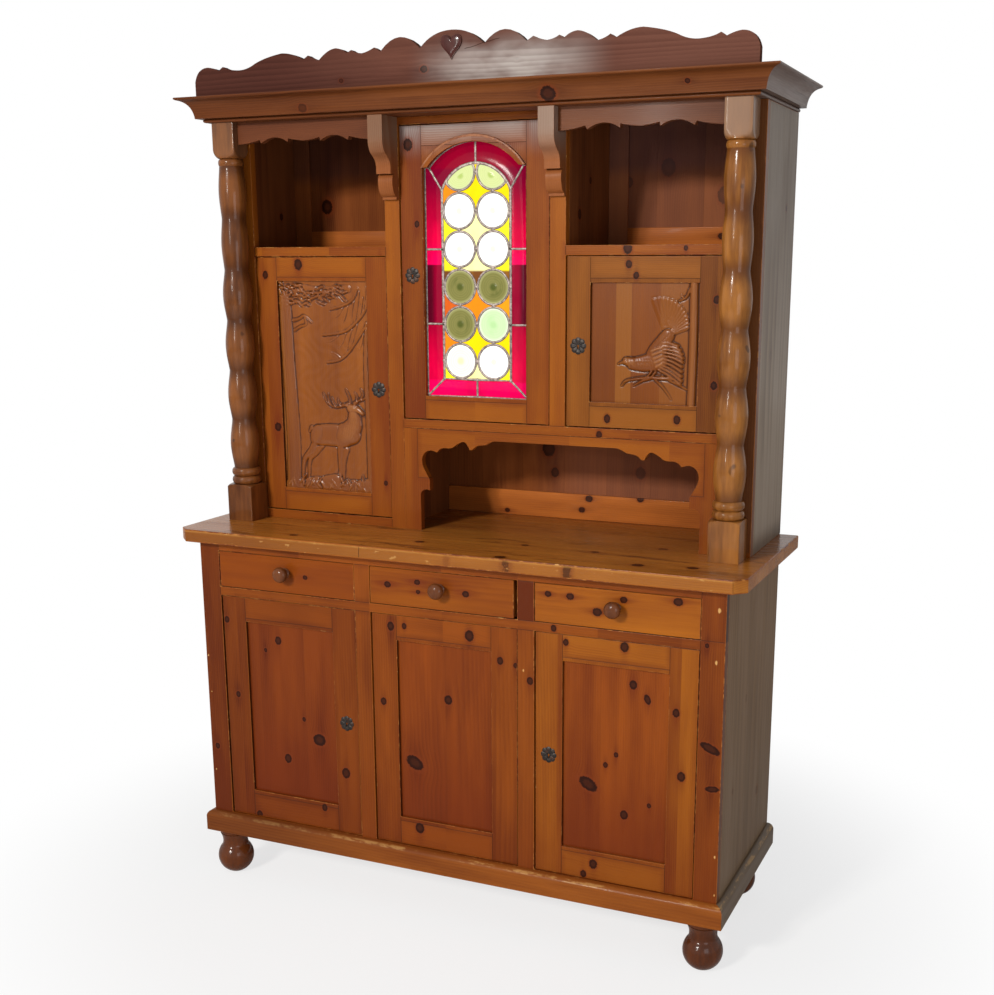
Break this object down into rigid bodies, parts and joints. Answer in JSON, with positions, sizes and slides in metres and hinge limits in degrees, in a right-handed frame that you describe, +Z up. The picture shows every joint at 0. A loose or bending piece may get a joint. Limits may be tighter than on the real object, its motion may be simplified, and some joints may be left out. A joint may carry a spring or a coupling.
{
  "type": "buffet cabinet",
  "caption": "Farmhouse buffet of knotty pine: drawers over framed doors on ball feet, under a hutch with turned columns, carved doors, a leaded glass door, open niches and a coved cornice.",
  "frame": {"origin": "on the floor, under the middle of the whole cabinet: half way between its sides, and half way between the drawer knobs and the back", "axes": "+X to the right seen from the front, +Y from the front to the back, +Z up"},
  "size_m": [1.506, 0.5412, 2.1363],
  "materials": {
    "amber_pine": "amber stain under satin varnish",
    "red_pine": "reddish stain under satin varnish",
    "pale_pine": "pale amber stain under satin varnish",
    "inner_pine": "matt",
    "dark_turning": "dark stain under gloss varnish",
    "foot_stain": "very dark stain under gloss varnish",
    "crest_pine": "greyish brown stain under satin varnish",
    "black_iron": "black",
    "lead": "dull grey lead",
    "red_glass": "clear coloured glass"
  },
  "bodies": {
    "carcass": {"foot_front_left": "foot_stain", "foot_front_right": "foot_stain", "foot_rear_left": "foot_stain", "foot_rear_right": "foot_stain", "plinth_moulding": "amber_pine", "base_bottom": "inner_pine", "base_side_left": "amber_pine", "base_side_right": "amber_pine", "base_divider_left": "inner_pine", "base_divider_right": "inner_pine", "drawer_deck": "inner_pine", "base_back": "inner_pine", "base_front_frame": "amber_pine", "countertop": "pale_pine", "hutch_side_left": "amber_pine", "hutch_side_right": "amber_pine", "hutch_back": "inner_pine", "hutch_floor": "inner_pine", "hutch_divider_left": "inner_pine", "hutch_divider_right": "inner_pine", "niche_floor_left": "amber_pine", "niche_floor_right": "amber_pine", "glass_door_shelf": "inner_pine", "hutch_front_frame": "amber_pine", "niche_apron": "amber_pine", "valance_left": "amber_pine", "valance_right": "amber_pine", "bracket_left": "amber_pine", "bracket_right": "amber_pine", "column_left": "dark_turning", "column_right": "dark_turning", "cornice": "amber_pine", "crest_board": "crest_pine"},
    "drawer_left": {"drawer_front_left": "amber_pine", "drawer_tray_left": "inner_pine", "drawer_knob_left": "dark_turning"},
    "drawer_centre": {"drawer_front_centre": "amber_pine", "drawer_tray_centre": "inner_pine", "drawer_knob_centre": "dark_turning"},
    "drawer_right": {"drawer_front_right": "amber_pine", "drawer_tray_right": "inner_pine", "drawer_knob_right": "dark_turning"},
    "base_door_left": {"base_door_left_frame": "amber_pine", "base_door_left_panel": "red_pine", "base_door_left_escutcheon": "black_iron"},
    "base_door_centre": {"base_door_centre_frame": "amber_pine", "base_door_centre_panel": "red_pine"},
    "base_door_right": {"base_door_right_frame": "amber_pine", "base_door_right_panel": "red_pine", "base_door_right_escutcheon": "black_iron"},
    "hutch_door_left": {"hutch_door_left_frame": "amber_pine", "hutch_door_left_panel": "red_pine", "hutch_door_left_escutcheon": "black_iron"},
    "hutch_door_right": {"hutch_door_right_frame": "amber_pine", "hutch_door_right_panel": "red_pine", "hutch_door_right_escutcheon": "black_iron"},
    "glass_door": {"glass_door_frame": "amber_pine", "glass_door_escutcheon": "black_iron", "lead_came": "lead", "leaded_glass": "red_glass"}
  },
  "joints": [
    {"name": "drawer_left_slide", "type": "slide", "parent": "carcass", "child": "drawer_left", "axis": [0, -1, 0], "range_m": [0, 0.3]},
    {"name": "drawer_centre_slide", "type": "slide", "parent": "carcass", "child": "drawer_centre", "axis": [0, -1, 0], "range_m": [0, 0.3]},
    {"name": "drawer_right_slide", "type": "slide", "parent": "carcass", "child": "drawer_right", "axis": [0, -1, 0], "range_m": [0, 0.3]},
    {"name": "base_door_left_hinge", "type": "hinge", "parent": "carcass", "child": "base_door_left", "pos_m": [-0.6355, -0.22435, 0.4865], "axis": [0, 0, -1], "range_deg": [0, 90]},
    {"name": "base_door_centre_hinge", "type": "hinge", "parent": "carcass", "child": "base_door_centre", "pos_m": [0.191, -0.22435, 0.4865], "axis": [0, 0, 1], "range_deg": [0, 90]},
    {"name": "base_door_right_hinge", "type": "hinge", "parent": "carcass", "child": "base_door_right", "pos_m": [0.6355, -0.22435, 0.4865], "axis": [0, 0, 1], "range_deg": [0, 90]},
    {"name": "hutch_door_left_hinge", "type": "hinge", "parent": "carcass", "child": "hutch_door_left", "pos_m": [-0.6145, -0.02935, 1.3165], "axis": [0, 0, -1], "range_deg": [0, 70]},
    {"name": "hutch_door_right_hinge", "type": "hinge", "parent": "carcass", "child": "hutch_door_right", "pos_m": [0.6145, -0.02935, 1.446], "axis": [0, 0, 1], "range_deg": [0, 85]},
    {"name": "glass_door_hinge", "type": "hinge", "parent": "carcass", "child": "glass_door", "pos_m": [0.19025, -0.02935, 1.5985], "axis": [0, 0, 1], "range_deg": [0, 90]}
  ]
}
